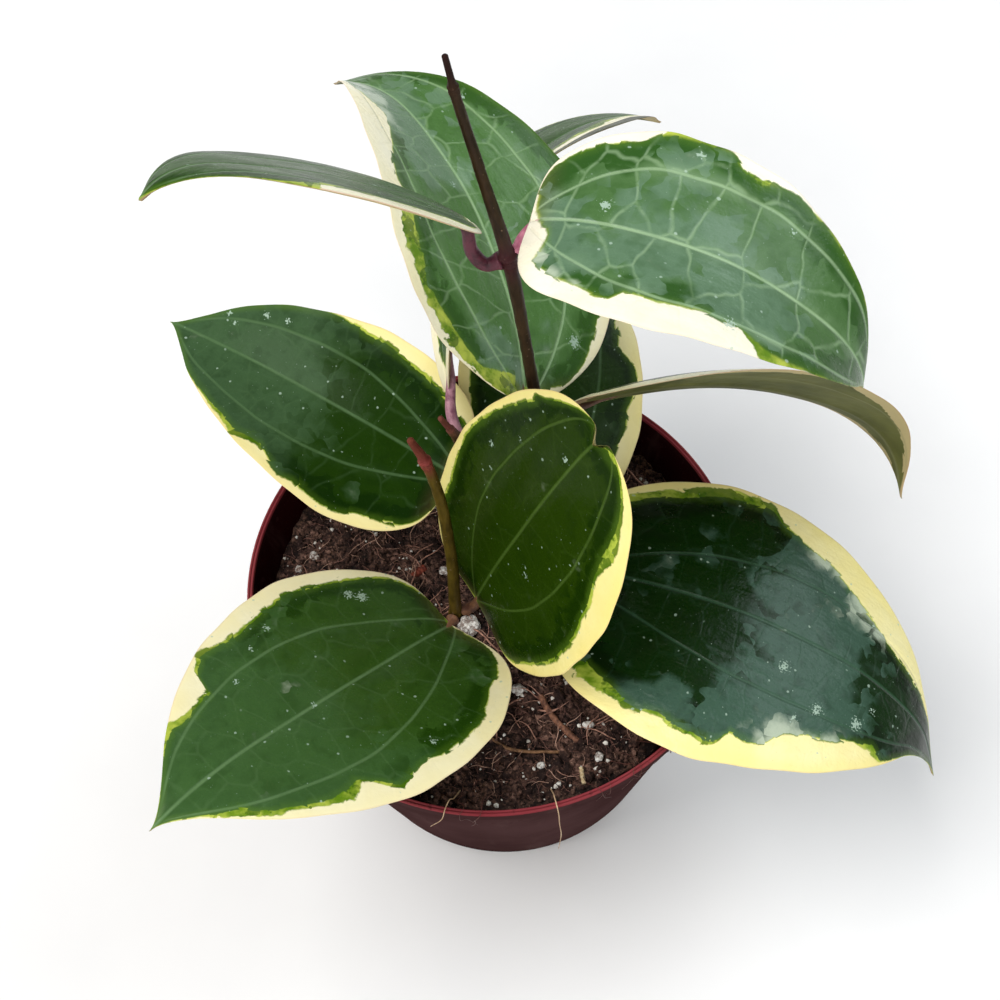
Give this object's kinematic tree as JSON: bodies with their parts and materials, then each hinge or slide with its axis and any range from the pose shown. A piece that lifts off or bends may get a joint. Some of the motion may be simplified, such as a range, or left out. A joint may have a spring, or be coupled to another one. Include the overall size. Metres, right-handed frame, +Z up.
{
  "type": "potted climbing plant",
  "caption": "Climbing wax plant with large cream-edged green leaves on upright vines, rooted in a thin round plastic nursery pot.",
  "frame": {"origin": "centre of the pot's flat underside", "axes": "+Z up along the pot's axis, +Y towards the back of the plant, away from the viewer"},
  "size_m": [0.1785, 0.1783, 0.2526],
  "materials": {
    "pot_plastic": "satin",
    "peat": "matte",
    "dark_stem": "satin",
    "olive_stem": "satin",
    "leaf": "gloss",
    "perlite": "matte",
    "brown_root": "matte",
    "wood_bit": "matte",
    "pale_wood": "matte",
    "pale_root": "matte"
  },
  "bodies": {
    "root": {"pot": "pot_plastic", "soil": "peat", "tall_vine": "dark_stem", "short_vine": "olive_stem", "back_vine": "olive_stem", "leaf_upper_left": "leaf", "leaf_upper_right": "leaf", "leaf_middle_back": "leaf", "leaf_middle_right": "leaf", "leaf_lower_right": "leaf", "leaf_lower_back": "leaf", "leaf_front_left": "leaf", "leaf_front_upright": "leaf", "leaf_left": "leaf", "leaf_back_arched": "leaf", "perlite_1": "perlite", "perlite_2": "perlite", "perlite_3": "perlite", "perlite_4": "perlite", "perlite_5": "perlite", "perlite_6": "perlite", "perlite_7": "perlite", "perlite_8": "perlite", "perlite_9": "perlite", "perlite_10": "perlite", "surface_root": "brown_root", "twig_front": "wood_bit", "twig_right": "wood_bit", "pale_splinter": "pale_wood", "bark_chip": "wood_bit", "rim_root_left": "pale_root", "rim_root_front": "pale_root"}
  },
  "joints": []
}
